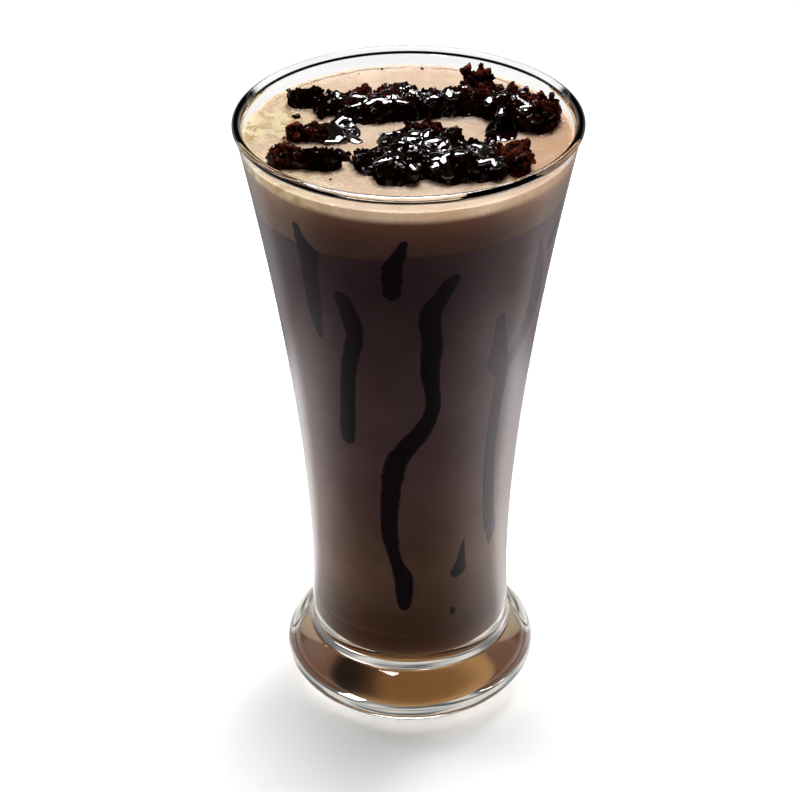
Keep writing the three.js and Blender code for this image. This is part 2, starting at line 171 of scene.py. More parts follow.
# Syrup on the brownie: stations of place in plan and half width
GLAZE_RIBBONS = [
    [(-21.5, 0.6, 0.7), (-20.5, 2.3, 1), (-18.2, 4.9, 1.4), (-15.2, 7.1, 1.1), (-13.8, 5.6, 0.8),
     (-12.1, 2.7, 0.6)],
    [(-18.5, -0.5, 0.6), (-16.7, 0, 0.8), (-14.5, 1.1, 1)],
    [(-19.3, -4.8, 1), (-16.8, -4.3, 1.2)],
    [(-19.6, 3.6, 1.7), (-17.6, 1, 2.2), (-16.4, -2.6, 2.1)],
    [(-15.4, 4.4, 1.5), (-13.6, 2.8, 1.9), (-13, 0.8, 1.5)],
    [(-16.7, -7.6, 0.8), (-15.6, -9, 0.9), (-14.9, -10.6, 0.7)],
    [(-14.9, -1.6, 1.3), (-13.5, -1.6, 1.6), (-12, -2.8, 1.3)],
    [(-5.7, 8.4, 0.9), (-3, 9.2, 1.2), (-0.4, 8.8, 0.9)],
    [(-8.9, 12.8, 0.7), (-6.8, 11.7, 0.9), (-4.7, 10.5, 0.8)],
    [(-5.6, 15, 0.8), (-2.8, 13.9, 1), (-0.7, 12.2, 0.7)],
    [(-6.7, 0.9, 0.5), (-3, 1.5, 0.7), (-0.2, 3.1, 1), (2.9, 2.6, 0.8)],
    [(-7.3, -22.5, 1), (-4.5, -21.6, 1.5), (-2.5, -20.1, 1.4), (-0.7, -22.6, 1.2),
     (1.4, -26.1, 0.9)],
    [(12.3, -14, 0.7), (17.4, -16.1, 0.9), (18.9, -19.7, 0.8)],
    [(16.5, -23.8, 0.7), (19.2, -22.8, 0.9), (22.2, -21.3, 0.7)],
    [(23, 7.5, 0.8), (26.5, 5.5, 1), (29.5, 4, 0.9)],
]
GLAZE_RING = (3.9, 15.9, 3.4, 4)  # a closed ribbon: centre and half sizes
GLAZE_RING_WIDTH = 0.55
LOWEST_POOL = 1.8  # above the froth, so that no pool hangs over the brownie's edge

# Syrup that lies on the froth between the brownie pieces: stations of place and half width
PUDDLES = [
    [(20.6, 5, 1.5), (20.1, 2.2, 1.7), (20.4, -0.2, 1.3), (19.4, -2.6, 1.5)],
    [(23.4, 4.6, 1.6), (23, 2.2, 1.4), (22, 0, 1.6), (22.8, -2, 1.3)],
    [(25.6, 3.6, 1), (25, 1.4, 1.2), (24.6, -1.4, 1)],
]

# Fields of small pools: centre, half sizes and how many
GLAZE_FIELDS = [
    (-8, 12.2, 10, 3.8, 16), (8, 12.2, 8, 3.8, 12), (24, 6.5, 8, 4.7, 14), (2, -14.5, 9, 7.6, 26),
    (13, -20, 9, 5.6, 20), (-22, -16.4, 6, 1.9, 3),
]
BUBBLE_COUNT = 1200

# The room
DIM_SIDE = math.radians(-10)  # the direction, from the front, in which the room is dimmest
SIDE_LIGHT = 0.95
FRONT_LIGHT = 0.03
SIDE_GLOW = 2.0  # how much more light the sides give than they show in reflections
FOOT_LIGHT = 0.5  # of the floor close to the foot, seen through the glass
FLOOR_RADIUS = 12000
FLOOR_DROP = 0.05  # below the foot, so that the two faces don't meet

# Camera
CAMERA_DISTANCE = 620
CAMERA_LIFT = math.radians(32.1865)
CAMERA_YAW = math.radians(-0.2199)
CAMERA_ROLL = math.radians(-0.1957)
CAMERA_TARGET_HEIGHT = 85.2046
LENS = 109.62  # for a sensor 36 mm wide


# Meshes

def add_mesh(name, points, faces, smooth=True):
    """A mesh object from points in millimetres."""
    mesh = bpy.data.meshes.new(name)
    scaled = np.asarray(points, float) * MM
    mesh.from_pydata(scaled.tolist(), [], faces)
    mesh.validate()
    mesh.polygons.foreach_set("use_smooth", [smooth] * len(mesh.polygons))
    thing = bpy.data.objects.new(name, mesh)
    bpy.context.collection.objects.link(thing)
    return thing


def add_value(thing, name, values):
    """A number for each point, for the material to read."""
    attribute = thing.data.attributes.new(name, "FLOAT", "POINT")
    attribute.data.foreach_set("value", np.asarray(values, np.float32))


def stands_for(thing, nodes, material):
    thing.data.materials.append(material)
    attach(thing, "root")
    if nodes:
        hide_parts(*nodes)
    return thing


def closed_rings(rings, low_pole, high_pole):
    """Points and faces of a closed surface: rings of points, shut by a point at each end."""
    rows, sides = rings.shape[:2]
    points = np.vstack([rings.reshape(-1, 3), [low_pole], [high_pole]])
    low, high = rows * sides, rows * sides + 1
    faces = []
    for row in range(rows - 1):
        start = row * sides
        for side in range(sides):
            other = (side + 1) % sides
            faces.append((start + side, start + other,
                          start + sides + other, start + sides + side))
    last = (rows - 1) * sides
    for side in range(sides):
        other = (side + 1) % sides
        faces.append((low, other, side))
        faces.append((high, last + side, last + other))
    return points, faces


def turned(profile, sides):
    """A solid of revolution from a profile whose first and last points lie on the axis."""
    profile = np.asarray(profile, float)
    angle = np.linspace(0, 2 * np.pi, sides, endpoint=False)
    radius, height = profile[1:-1, 0], profile[1:-1, 1]
    rings = np.stack([
        radius[:, None] * np.sin(angle),
        -radius[:, None] * np.cos(angle),
        np.repeat(height[:, None], sides, axis=1),
    ], axis=2)
    return closed_rings(rings, (0, 0, profile[0, 1]), (0, 0, profile[-1, 1]))


def value_noise(points, scale, seed, octaves=3):
    """Smooth noise between about -1 and 1 at each point, with features of the given size."""
    shift = Vector((seed * 17.3, seed * 5.1, seed * 9.7))
    return np.array([
        noise.fractal(Vector(point) / scale + shift, 0.9, 2.1, octaves) for point in points
    ])


# Form of the glass

def outer_radius(z):
    rise = np.clip((z - WAIST_HEIGHT) / (GLASS_HEIGHT - WAIST_HEIGHT), 0, 1)
    widening = (1 + FLARE_LEAN) * rise ** FLARE_POWER - FLARE_LEAN * rise
    return WAIST_RADIUS + (RIM_RADIUS - 0.3 - WAIST_RADIUS) * widening


def inner_radius(z):
    fall = np.clip((GLASS_HEIGHT - z) / (GLASS_HEIGHT - WAIST_HEIGHT), 0, 1)
    return outer_radius(z) - (WALL_AT_RIM + (WALL_AT_WAIST - WALL_AT_RIM) * fall)


def foot_radius(z):
    rise = (z - FOOT_WIDEST_HEIGHT) / FOOT_BULGE_HEIGHT
    return FOOT_RADIUS - FOOT_BULGE_WIDTH * (1 - np.sqrt(1 - rise * rise))


def arc(centre, radii, start, end, steps):
    """Points on an ellipse's arc, with its angles in degrees."""
    angles = np.radians(np.linspace(start, end, steps + 1))
    return np.stack([
        centre[0] + radii[0] * np.cos(angles),
        centre[1] + radii[1] * np.sin(angles),
    ], axis=1)


def foot_profile():
    edge = FOOT_EDGE_HEIGHT
    base = foot_radius(edge) - edge
    heights = np.linspace(edge, FOOT_SHOULDER_HEIGHT, 48)
    bulge = np.stack([foot_radius(heights), heights], axis=1)
    start = bulge[-1]
    middle = np.array([WAIST_RADIUS + 0.1, FOOT_SHOULDER_HEIGHT + COVE_SHARPNESS * COVE_HEIGHT])
    end = np.array([WAIST_RADIUS, FOOT_SHOULDER_HEIGHT + COVE_HEIGHT])
    share = np.linspace(0, 1, 13)[1:, None]
    cove = (1 - share) ** 2 * start + 2 * share * (1 - share) * middle + share ** 2 * end
    flat = [(0, 0), (base * 0.5, 0), (base * 0.97, 0)]
    return np.vstack([flat, arc((base, edge), (edge, edge), -90, -8, 6), bulge, cove])


def cavity_profile(top, reach, steps):
    """The inside of the glass from its lowest point up, pushed outwards by reach."""
    wall_foot = CAVITY_FLOOR + BOWL_DEPTH
    radius = inner_radius(wall_foot)
    bowl = arc((0, wall_foot), (radius + reach, BOWL_DEPTH + reach), -90, 0, 40)[:-1]
    bowl[0, 0] = 0
    heights = np.append(np.linspace(wall_foot, top - 0.3, steps), top)
    wall = np.stack([inner_radius(heights) + reach, heights], axis=1)
    return np.vstack([bowl, wall])


def glass_profile():
    foot = foot_profile()
    wall_top = GLASS_HEIGHT - BEAD_NECK
    heights = np.append(np.linspace(foot[-1, 1], wall_top - 0.3, 70)[1:], wall_top)
    wall = np.stack([outer_radius(heights), heights], axis=1)
    centre = (RIM_RADIUS - BEAD_RADIUS, GLASS_HEIGHT - BEAD_RADIUS)
    bead = arc(centre, (BEAD_RADIUS, BEAD_RADIUS), -30, 210, 36)
    cavity = cavity_profile(wall_top, 0, 70)[::-1]
    outer_neck = np.linspace(wall[-1], bead[0], 6)[1:-1]
    inner_neck = np.linspace(bead[-1], cavity[0], 6)[1:-1]
    return np.vstack([foot, wall, outer_neck, bead, inner_neck, cavity])


def rim_shade(points):
    """Where the rim looks black: all of its round bead at the sides, its near foot elsewhere."""
    reach = np.maximum(np.hypot(points[:, 0], points[:, 1]), 1)
    outward = (reach - RIM_RADIUS + BEAD_RADIUS) / BEAD_RADIUS
    upward = (points[:, 2] - GLASS_HEIGHT + BEAD_RADIUS) / BEAD_RADIUS
    near = points[:, 1] / reach
    aside = points[:, 0] / reach
    # The near line is thick at the right, and heavier at the left than in the middle.
    thick = np.clip((aside - 0.26) / 0.05, 0, 1) * np.clip((0.74 - aside) / 0.05, 0, 1)
    thick *= near < 0
    heavier = np.clip((-aside - 0.3) / 0.1, 0, 1) * np.clip((aside + 0.88) / 0.05, 0, 1)
    heavier *= near < 0
    on_bead = np.clip((upward + 0.9 - 0.6 * thick) / 0.1, 0, 1)
    limit = 0.02 + 0.95 * thick + 0.4 * heavier
    low = np.clip((limit - upward) / 0.12, 0, 1)
    low *= np.clip(-3 * outward * near + 0.6 * thick, 0, 1)
    start = np.where(near > 0, 0.86, 0.82)
    spread = np.clip((np.abs(aside) - start) / (0.99 - start), 0, 1) ** 2
    from_edge = 1 - np.where(near > 0, outward, -outward)
    band = np.clip((3 * spread - from_edge) / 0.15, 0, 1) * (spread > 0)
    return on_bead * np.maximum(band, low)


def make_glass():
    points, faces = turned(glass_profile(), GLASS_SIDES)
    thing = add_mesh("glass_clear", points, faces)
    add_value(thing, "rim_shade", rim_shade(points))
    return thing


# Form of the drink

def layer_height(x, y):
    """Where the froth meets the milkshake."""
    angle = np.arctan2(x, -y)
    share = np.minimum(np.hypot(x, y) / inner_radius(LAYER_HEIGHT), 1)
    ripple = 0.45 * np.sin(5 * angle + 0.8) + 0.3 * np.sin(9 * angle + 2)
    return LAYER_HEIGHT + share * (1.8 * np.sin(angle) - 0.4 * np.cos(angle) + ripple)


def froth_height(x, y):
    """The froth's top, which climbs a little at the wall."""
    wall = inner_radius(FROTH_HEIGHT)
    to_wall = np.maximum(wall - np.hypot(x, y), 0)
    climb = MENISCUS_RISE * np.exp(-3 * (to_wall / MENISCUS_WIDTH) ** 2)
    return FROTH_HEIGHT + climb


def wall_rings(radii_at, heights_at, shares, sides):
    """Rings up a wall whose height depends on the angle."""
    angle = np.linspace(0, 2 * np.pi, sides, endpoint=False)
    rings = []
    for share in shares:
        height = heights_at(angle, share)
        radius = radii_at(height)
        rings.append(np.stack(
            [radius * np.sin(angle), -radius * np.cos(angle), height], axis=1))
    return np.array(rings)


def wall_layer_height(angle):
    radius = inner_radius(LAYER_HEIGHT)
    return layer_height(radius * np.sin(angle), -radius * np.cos(angle))


def make_milkshake():
    bowl = cavity_profile(LAYER_HEIGHT, DRINK_REACH, 2)[1:-2]
    angle = np.linspace(0, 2 * np.pi, DRINK_SIDES, endpoint=False)
    bowl_rings = np.stack([
        bowl[:, 0, None] * np.sin(angle),
        -bowl[:, 0, None] * np.cos(angle),
        np.repeat(bowl[:, 1, None], DRINK_SIDES, axis=1),
    ], axis=2)
    foot = CAVITY_FLOOR + BOWL_DEPTH
    wall = wall_rings(
        lambda z: inner_radius(z) + DRINK_REACH,
        lambda a, share: foot + (wall_layer_height(a) - foot) * share,
        np.linspace(0, 1, 90), DRINK_SIDES)
    top = []
    for share in (0.97, 0.7, 0.35):
        ring = wall[-1].copy()
        ring[:, :2] *= share
        ring[:, 2] = layer_height(ring[:, 0], ring[:, 1])
        top.append(ring)
    rings = np.concatenate([bowl_rings, wall, np.array(top)])
    points, faces = closed_rings(
        rings, (0, 0, CAVITY_FLOOR - DRINK_REACH), (0, 0, LAYER_HEIGHT))
    thing = add_mesh("milkshake_body", points, faces)
    add_value(thing, "below_froth", layer_height(points[:, 0], points[:, 1]) - points[:, 2])
    return thing


def froth_relief(points):
    """Lumps and fine bubbles of the froth's top."""
    return (0.22 * value_noise(points, 8, 3, 2)
            + 0.1 * value_noise(points, 2.2, 4, 3)
            + 0.035 * value_noise(points, 0.7, 5, 2))


def make_froth(brownies):
    side = wall_rings(
        lambda z: inner_radius(z) + FROTH_REACH,
        lambda a, share: (1 - share) * (wall_layer_height(a) - LAYER_OVERLAP) + share * froth_height(
            inner_radius(FROTH_HEIGHT) * np.sin(a), -inner_radius(FROTH_HEIGHT) * np.cos(a)),
        np.linspace(0, 1, 24), DRINK_SIDES)
    under = []
    for share in (0.3, 0.7, 0.97):
        ring = side[0].copy()
        ring[:, :2] *= share
        ring[:, 2] = layer_height(ring[:, 0], ring[:, 1]) - LAYER_OVERLAP
        under.append(ring)
    top = []
    shares = 1 - np.linspace(0, 1, 151)[1:-1] ** 1.15
    for share in shares:
        ring = side[-1].copy()
        ring[:, :2] *= share
        ring[:, 2] = froth_height(ring[:, 0], ring[:, 1])
        top.append(ring)
    top = np.array(top)
    flat = top.reshape(-1, 3)
    fade = np.clip((1 - np.repeat(shares, DRINK_SIDES)) / 0.03, 0, 1)
    flat[:, 2] += fade * froth_relief(flat)
    flat[:, 2] += FROTH_CLIMB * np.exp(-distance_to(brownies, flat) / FROTH_CLIMB_WIDTH)
    rings = np.concatenate([np.array(under), side, flat.reshape(top.shape)])
    points, faces = closed_rings(
        rings, (0, 0, LAYER_HEIGHT - LAYER_OVERLAP), (0, 0, float(froth_height(0, 0))))
    thing = add_mesh("froth_body", points, faces)
    reach = np.hypot(points[:, 0], points[:, 1])
    add_value(thing, "to_wall", inner_radius(points[:, 2]) - reach)
    add_value(thing, "to_brownie", np.minimum(distance_to(brownies, points), 10))
    return thing


def distance_to(things, points):
    """How far each point is from the nearest point of these meshes, in millimetres."""
    corners = np.vstack([mesh_points(thing) for thing in things])
    tree = kdtree.KDTree(len(corners))
    for index, corner in enumerate(corners):
        tree.insert(corner, index)
    tree.balance()
    return np.array([tree.find(point)[2] for point in points])


def mesh_points(thing):
    """A mesh's points in millimetres."""
    points = np.empty(len(thing.data.vertices) * 3)
    thing.data.vertices.foreach_get("co", points)
    return points.reshape(-1, 3) / MM


def mesh_normals(thing):
    normals = np.empty(len(thing.data.vertices) * 3)
    thing.data.vertices.foreach_get("normal", normals)
    return normals.reshape(-1, 3)


# Syrup on the inside of the wall

def smooth_route(stations, steps):
    """A Catmull-Rom curve through the stations."""
    stations = np.array(stations, float)
    padded = np.vstack([2 * stations[0] - stations[1], stations, 2 * stations[-1] - stations[-2]])
    rows = []
    for i in range(1, len(padded) - 2):
        before, start, end, after = padded[i - 1:i + 3]
        for step in range(steps):
            t = step / steps
            rows.append(0.5 * (
                2 * start + (end - before) * t
                + (2 * before - 5 * start + 4 * end - after) * t ** 2
                + (3 * start - before - 3 * end + after) * t ** 3))
    rows.append(padded[-2])
    return np.array(rows)


def rounded_ends(route, widths):
    """Share of the width at each row, so that both ends close in a half circle."""
    steps = np.hypot(np.diff(route[:, 0]), np.radians(np.diff(route[:, 1])) * WAIST_RADIUS)
    along = np.concatenate([[0], np.cumsum(steps)])
    share = np.ones(len(route))
    for away, radius in ((along, widths[0] / 2), (along[-1] - along, widths[-1] / 2)):
        near = np.clip(1 - away / max(radius, 0.3), 0, 1)
        share *= np.sqrt(np.maximum(1 - near ** 2, 0.01))
    return share


def run_strip(stations, seed):
    """One streak: rows across it, from its top to its bottom, and its back in the drink."""
    route = smooth_route(stations, 14)
    across = np.linspace(-1, 1, 13)
    wobble = value_noise(np.stack([route[:, 0]] * 3, axis=1), 3.2, seed, 2)
    widths = np.maximum(route[:, 2] * (1 + 0.12 * wobble), 0.3)
    widths *= rounded_ends(route, widths)
    rows = []
    for (height, degrees, _), width in zip(route, widths):
        wall = inner_radius(height)
        angle = math.radians(degrees) + across * width / 2 / wall
        bulge = np.sqrt(np.clip(1 - across ** 2, 0, 1))
        front = wall - SYRUP_SKIN + (SYRUP_REACH + SYRUP_SKIN) * np.minimum(bulge * 2.2, 1)
        back = wall - SYRUP_SKIN - SYRUP_THICKNESS * bulge
        ring = [(r * math.sin(a), -r * math.cos(a), height)
                for r, a in [*zip(front, angle), *zip(back[::-1][1:-1], angle[::-1][1:-1])]]
        rows.append(ring)
    rings = np.array(rows)
    edge = np.concatenate([np.abs(across), np.abs(across[::-1][1:-1])])
    points, faces = closed_rings(rings, rings[0].mean(axis=0), rings[-1].mean(axis=0))
    edges = np.concatenate([np.tile(edge, len(rows)), [1, 1]])
    return points, faces, edges


def make_runs():
    things = []
    for index, (node, veil, paths) in enumerate(SYRUP_RUNS):
        all_points, all_faces, all_edges = [], [], []
        for number, stations in enumerate(paths):
            points, faces, edges = run_strip(stations, 7 * index + number)
            offset = sum(len(part) for part in all_points)
            all_points.append(points)
            all_edges.append(edges)
            all_faces += [tuple(corner + offset for corner in face) for face in faces]
        thing = add_mesh(node + "_streak", np.vstack(all_points), all_faces)
        edges = np.concatenate(all_edges)
        add_value(thing, "veil", veil + (1 - veil) * 0.55 * np.clip((edges - 0.7) / 0.3, 0, 1))
        things.append((thing, node))
    return things


# Brownie

def even_mesh(thing, voxel, smoothing=0):
    """Rebuilds a mesh from even small faces, with whatever overlaps joined."""
    remesh = thing.modifiers.new("even", "REMESH")
    remesh.mode = "VOXEL"
    remesh.voxel_size = voxel * MM
    if smoothing:
        smooth = thing.modifiers.new("smooth", "SMOOTH")
        smooth.factor = 0.5
        smooth.iterations = smoothing
    depsgraph = bpy.context.evaluated_depsgraph_get()
    mesh = bpy.data.meshes.new_from_object(thing.evaluated_get(depsgraph))
    thing.modifiers.clear()
    thing.data = mesh
    mesh.polygons.foreach_set("use_smooth", [True] * len(mesh.polygons))
    return thing


def grains(points, size, seed, roundness=2):
    """Height of grains of a given size, between 0 and 1."""
    shift = Vector((seed * 3.1, seed * 7.7, seed * 1.3))
    nearest = [noise.voronoi(Vector(point) / size + shift)[0][0] for point in points]
    return 1 - np.minimum(nearest, 1) ** roundness


def dryness(points):
    """How dry and red-brown the crumb is here, against black where syrup has soaked in."""
    dry = np.zeros(len(points))
    for x, y, reach in DRY_SPOTS:
        away = np.hypot(points[:, 0] - x, points[:, 1] - y)
        dry = np.maximum(dry, np.exp(-(away / reach) ** 2))
    return np.clip(dry + 0.25 * value_noise(points, 5, 41, 2), 0.06, 1)


def make_brownie(node, growth, roughness, seed):
    thing = bpy.data.objects.new(node + "_crumbly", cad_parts[node].data.copy())
    bpy.context.collection.objects.link(thing)
    thing.data.materials.clear()
    even_mesh(thing, BROWNIE_VOXEL)
    points = mesh_points(thing)
    coarse = grains(points, 1.9, seed)
    fine = grains(points, 0.7, seed + 1, 1)
    swell = value_noise(points, 3.2, seed, 3)
    lift = growth + roughness * (0.85 * coarse + 0.55 * fine + 0.55 * swell)
    for x, y, reach, amount in SWELLS:
        away = np.hypot(points[:, 0] - x, points[:, 1] - y)
        lift += amount * np.exp(-(away / reach) ** 2)
    points += mesh_normals(thing) * lift[:, None]
    thing.data.vertices.foreach_set("co", (points * MM).ravel())
    thing.data.update()
    raised = np.clip(1.6 * (0.5 * coarse + 0.5 * fine) - 0.75, 0, 1)
    add_value(thing, "dry", dryness(points) * raised)
    return thing


# Crumbs, glaze and bubbles

def ball(turns):
    """Points and faces of a small ball of radius 1."""
    mesh = bmesh.new()
    bmesh.ops.create_icosphere(mesh, subdivisions=turns, radius=1)
    points = np.array([vertex.co[:] for vertex in mesh.verts])
    faces = np.array([[vertex.index for vertex in face.verts] for face in mesh.faces])
    mesh.free()
    return points, faces


def random_turn(draw):
    turn = Quaternion(draw.normal(size=4))
    turn.normalize()
    return np.array(turn.to_matrix())


def joined_balls(name, balls, turns):
    """One mesh from many balls, each given as its centre and a 3 by 3 matrix for its shape."""
    points, faces = ball(turns)
    all_points = [points @ np.asarray(shape).T + centre for centre, shape in balls]
    starts = np.arange(len(balls)) * len(points)
    all_faces = (faces[None] + starts[:, None, None]).reshape(-1, 3)
    return add_mesh(name, np.vstack(all_points), all_faces.tolist(), smooth=False)


def spots_on(things, count, draw, weigh):
    """Random points on these surfaces with their normals, drawn by area and weight."""
    corners = []
    for thing in things:
        points = mesh_points(thing)
        thing.data.calc_loop_triangles()
        triangles = np.array([part.vertices[:] for part in thing.data.loop_triangles])
        corners.append(points[triangles])
    corners = np.vstack(corners)
    crosses = np.cross(corners[:, 1] - corners[:, 0], corners[:, 2] - corners[:, 0])
    areas = np.linalg.norm(crosses, axis=1)
    normals = crosses / np.maximum(areas, 1e-9)[:, None]
    weights = areas * weigh(corners.mean(axis=1), normals)
    picks = draw.choice(len(corners), count, p=weights / weights.sum())
    shares = draw.dirichlet((1, 1, 1), count)
    places = (corners[picks] * shares[:, :, None]).sum(axis=1)
    return places, normals[picks]


def crumb_weight(places, normals):
    """Crumbs cling to tops and upper sides, and most of all where the cake is dry."""
    upward = np.clip(normals[:, 2] + 0.35, 0, 1)
    above = np.clip((places[:, 2] - FROTH_HEIGHT - 0.8) / 3, 0.1, 1)
    return upward * above * (0.35 + dryness(places))


def tooth_crumbs(draw, surface):
    """Crumbs that stand up from the brownie's upper edges."""
    balls = []
    for start, end in TOOTH_ROWS:
        count = int(1.1 * math.dist(start, end))
        for share in np.linspace(0, 1, count):
            x, y = np.array(start) * (1 - share) + np.array(end) * share
            x, y = x + draw.normal(scale=0.5), y + draw.normal(scale=0.9)
            size = draw.uniform(0.5, 1)
            height = drop_to(surface, x, y)
            if height > FROTH_HEIGHT + 1.5:
                balls.append(((x, y, height + 0.35 * size), standing(draw, size)))
    for x, y, height, size in TALL_CRUMBS:
        balls.append(((x, y, height), standing(draw, size)))
    return balls


def standing(draw, size):
    """The shape of a narrow upright crumb that leans a little."""
    lean = np.eye(3)
    lean[:2, 2] = draw.normal(scale=0.3, size=2)
    return lean @ np.diag(size * np.array([0.75, 0.75, 1])) @ random_turn(draw)


def make_crumbs(brownies, froth):
    draw = np.random.default_rng(11)
    places, normals = spots_on(brownies, CRUMB_COUNT, draw, crumb_weight)
    surface = surface_of([froth])
    balls = []
    for place, normal in zip(places, normals):
        size = 0.28 + 0.42 * draw.random() ** 2
        stretch = np.diag(size * draw.uniform(0.6, 1.5, 3))
        balls.append((place + normal * size * 0.35, random_turn(draw) @ stretch))
    for x, y, size in LOOSE_CRUMBS:
        stretch = np.diag(size * draw.uniform(0.6, 1.1, 3))
        place = np.array([x, y, drop_to(surface, x, y) + 0.2 * size])
        balls.append((place, random_turn(draw) @ stretch))
    balls += tooth_crumbs(draw, surface_of(brownies))
    thing = joined_balls("brownie_crumbs", balls, 1)
    points = mesh_points(thing)
    sizes = np.repeat([np.cbrt(abs(np.linalg.det(shape))) for _, shape in balls],
                      len(points) // len(balls))
    points += draw.normal(scale=0.15, size=points.shape) * sizes[:, None]
    thing.data.vertices.foreach_set("co", (points * MM).ravel())
    thing.data.update()
    tone = np.repeat(draw.random(len(balls)) ** 1.5, len(points) // len(balls))
    add_value(thing, "dry", np.clip(dryness(points) * (0.25 + 1.1 * tone), 0, 1))
    return thing


def surface_of(things):
    """A tree for finding these surfaces from above, in millimetres."""
    points, faces = [], []
    for thing in things:
        start = sum(len(part) for part in points)
        points.append(mesh_points(thing))
        faces += [[corner + start for corner in part.vertices] for part in thing.data.polygons]
    return BVHTree.FromPolygons(np.vstack(points).tolist(), faces)


def drop_to(surface, x, y):
    """Height of the surface under a point in plan."""
    hit = surface.ray_cast(Vector((x, y, 200)), Vector((0, 0, -1)))[0]
    return hit.z if hit else FROTH_HEIGHT


def glaze_routes(draw):
    """Stations of place in plan and half width: first the ribbons, then the small pools."""
    centre_x, centre_y, width, depth = GLAZE_RING
    angle = np.linspace(0, 2 * np.pi, 17)
    ring = np.stack([centre_x + width * np.cos(angle), centre_y + depth * np.sin(angle),
                     np.full(len(angle), GLAZE_RING_WIDTH)], axis=1)
    ribbons = [np.array(route, float) for route in GLAZE_RIBBONS] + [ring]
    pools = []
    for x, y, width, depth, count in GLAZE_FIELDS:
        for _ in range(count):
            start = np.array([x + width * draw.uniform(-1, 1), y + depth * draw.uniform(-1, 1)])
            heading = draw.uniform(0, 2 * np.pi)
            radius = draw.uniform(0.55, 1.5)
            route = []
            for _ in range(draw.integers(2, 4)):
                route.append((*start, radius * draw.uniform(0.7, 1.2)))
                heading += draw.normal(scale=0.7)
                start = start + 1.7 * np.array([math.cos(heading), math.sin(heading)])
            pools.append(np.array(route))
    return ribbons, pools


def glaze_balls(route, surface, lowest):
    """Flattened balls along a route that lies on the surface, none if it goes below lowest."""
    stations = smooth_route(route, 6)
    heights = np.array([drop_to(surface, x, y) for x, y, _ in stations])
    if heights.min() < lowest:
        return []
    padded = np.pad(heights, 5, mode="edge")
    level = np.array([np.mean(np.sort(padded[i:i + 11])[4:]) for i in range(len(heights))])
    balls = []
    for (x, y, radius), height in zip(stations, level):
        shape = np.diag((1.2 * radius, 1.2 * radius, 0.6 * radius))
        balls.append(((x, y, height - 0.15 * radius), shape))
    return balls


def make_glaze(brownies, froth):
    surface = surface_of([*brownies, froth])
    ribbons, pools = glaze_routes(np.random.default_rng(23))
    balls = []
    for route in ribbons:
        balls += glaze_balls(route, surface, 0)
    for route in pools:
        balls += glaze_balls(route, surface, FROTH_HEIGHT + LOWEST_POOL)
    level = surface_of([froth])
    for route in PUDDLES:
        balls += glaze_balls(np.array(route), level, 0)
    return even_mesh(joined_balls("syrup_glaze", balls, 2), GLAZE_VOXEL, 8)


def bubble_weight(places, normals):
    """Bubbles gather at the wall, most of all at the left."""
    reach = np.hypot(places[:, 0], places[:, 1])
    on_top = (normals[:, 2] > 0.6) & (places[:, 2] > FROTH_HEIGHT - 2.5) & (reach < 38.8)
    at_wall = np.exp(-(39 - reach) / 5)
    left = np.clip(-places[:, 0] / 30, 0, 1)
    return on_top * (0.05 + at_wall * (0.2 + left) + 0.25 * left)


def make_bubbles(froth):
    draw = np.random.default_rng(31)
    places, _ = spots_on([froth], BUBBLE_COUNT, draw, bubble_weight)
    balls = []
    for place in places:
        radius = 0.12 + 0.28 * draw.random() ** 3
        balls.append((place, np.diag((radius, radius, 0.45 * radius))))
    thing = joined_balls("froth_bubbles", balls, 2)
    thing.data.polygons.foreach_set("use_smooth", [True] * len(thing.data.polygons))
    return thing


# Materials, in which places are in metres and the meshes' own values in millimetres

def srgb(red, green, blue):
    """A colour given as 0 to 255 screen values, as the linear colour that nodes take."""
    linear = []
    for part in (red, green, blue):
        share = part / 255
        linear.append(share / 12.92 if share <= 0.04045 else ((share + 0.055) / 1.055) ** 2.4)
    return (*linear, 1)


